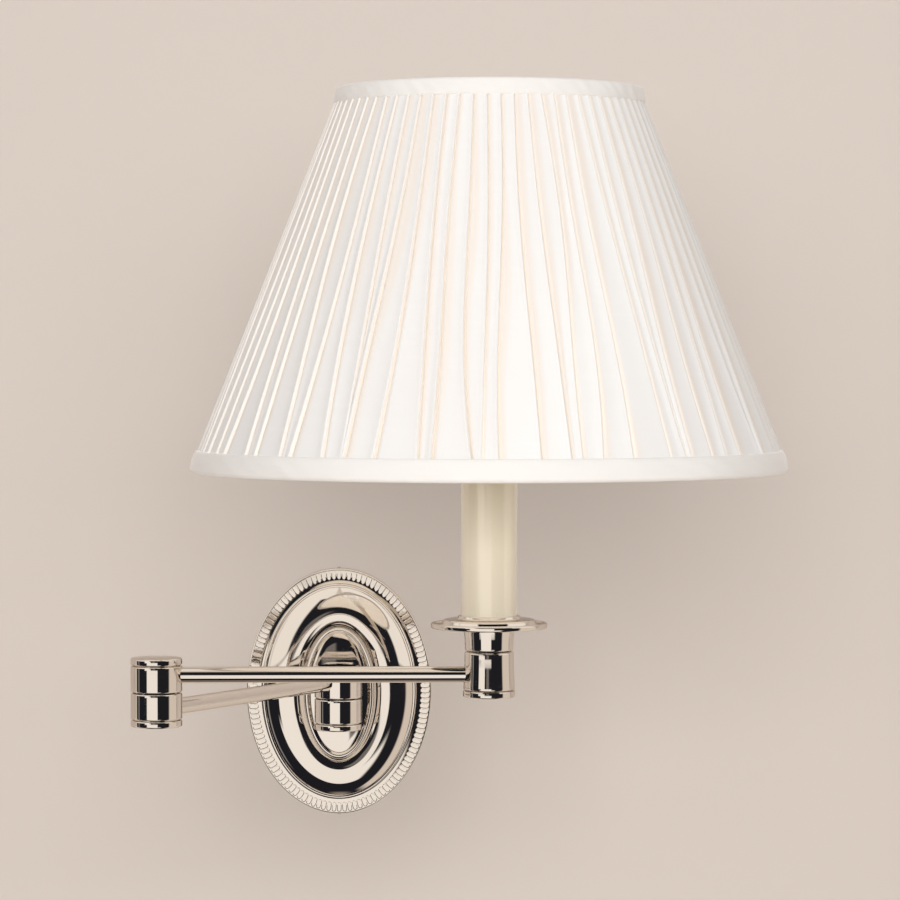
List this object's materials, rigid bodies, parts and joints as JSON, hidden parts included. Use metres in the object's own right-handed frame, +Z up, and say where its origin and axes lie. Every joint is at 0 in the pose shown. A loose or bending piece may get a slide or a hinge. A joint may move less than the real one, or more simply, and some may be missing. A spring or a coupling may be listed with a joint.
{
  "type": "swing-arm wall light",
  "caption": "Double swing-arm wall light: oval moulded back plate, friction pivots, level arm tubes, candle tube on a drip pan and a knife-pleated empire shade.",
  "frame": {"origin": "centre of the back plate and of the wall screws, on the wall plane", "axes": "+Z up, +X right as seen from the room, -Y out from the wall into the room"},
  "size_m": [0.3315, 0.3353, 0.3908],
  "materials": {
    "polished_nickel": "polished nickel plate on brass",
    "zinc_plated_steel": "zinc plated",
    "brass": "plain brass",
    "fibre": "vulcanised fibre",
    "terminal_plastic": "moulded",
    "holder_plastic": "moulded",
    "flex_sheath": "smooth sheath",
    "ivory_candle": "ivory, semi-gloss",
    "opal_glass": "opal",
    "white_frame_wire": "white coated wire",
    "lining_cloth": "thin lining cloth",
    "pleated_silk": "ivory silk, knife pleated",
    "bound_edge_silk": "ivory silk binding"
  },
  "bodies": {
    "wall_mount": {"wall_bracket": "zinc_plated_steel", "back_plate": "polished_nickel", "plate_grub_screws": "polished_nickel", "terminal_block": "terminal_plastic", "terminal_screws": "zinc_plated_steel", "earth_screw": "brass", "pivot_stem": "polished_nickel", "stem_nut": "zinc_plated_steel", "stem_washer": "zinc_plated_steel", "wall_knuckle_base": "polished_nickel", "wall_bottom_cap": "polished_nickel", "wall_spindle": "zinc_plated_steel", "wall_friction_washer": "fibre", "wall_spring_washer": "zinc_plated_steel", "wall_spindle_nut": "zinc_plated_steel", "wall_stop_pin": "zinc_plated_steel", "wall_flex": "flex_sheath"},
    "lower_arm": {"wall_knuckle_top": "polished_nickel", "wall_top_cap": "polished_nickel", "lower_arm_tube": "polished_nickel", "elbow_knuckle_lower": "polished_nickel", "elbow_bottom_cap": "polished_nickel", "elbow_spindle": "zinc_plated_steel", "elbow_friction_washer": "fibre", "elbow_spring_washer": "zinc_plated_steel", "elbow_spindle_nut": "zinc_plated_steel", "elbow_stop_pin": "zinc_plated_steel", "lower_arm_flex": "flex_sheath"},
    "upper_arm": {"elbow_knuckle_upper": "polished_nickel", "elbow_top_cap": "polished_nickel", "upper_arm_tube": "polished_nickel", "lamp_knuckle": "polished_nickel", "lamp_bottom_cap": "polished_nickel", "candle_cup": "polished_nickel", "drip_pan": "polished_nickel", "lamp_nipple": "zinc_plated_steel", "nipple_nuts": "zinc_plated_steel", "candle_tube": "ivory_candle", "lampholder_body": "holder_plastic", "lampholder_shell": "brass", "lampholder_contact": "brass", "shade_clamp_ring": "holder_plastic", "upper_arm_flex": "flex_sheath", "bulb_cap": "brass", "bulb_glass": "opal_glass", "shade_carrier": "white_frame_wire", "shade_top_ring": "white_frame_wire", "shade_bottom_ring": "white_frame_wire", "shade_struts": "white_frame_wire", "shade_spider": "white_frame_wire", "shade_lining": "lining_cloth", "shade_cover": "pleated_silk", "shade_top_trim": "bound_edge_silk", "shade_bottom_trim": "bound_edge_silk"}
  },
  "joints": [
    {"name": "wall_swing", "type": "hinge", "parent": "wall_mount", "child": "lower_arm", "pos_m": [0, -0.043, 0], "axis": [0, 0, 1], "range_deg": [-52.6, 117.4]},
    {"name": "elbow_swing", "type": "hinge", "parent": "lower_arm", "child": "upper_arm", "pos_m": [-0.09002, -0.18485, 0.0174], "axis": [0, 0, 1], "range_deg": [-252.4, 7.6]}
  ]
}
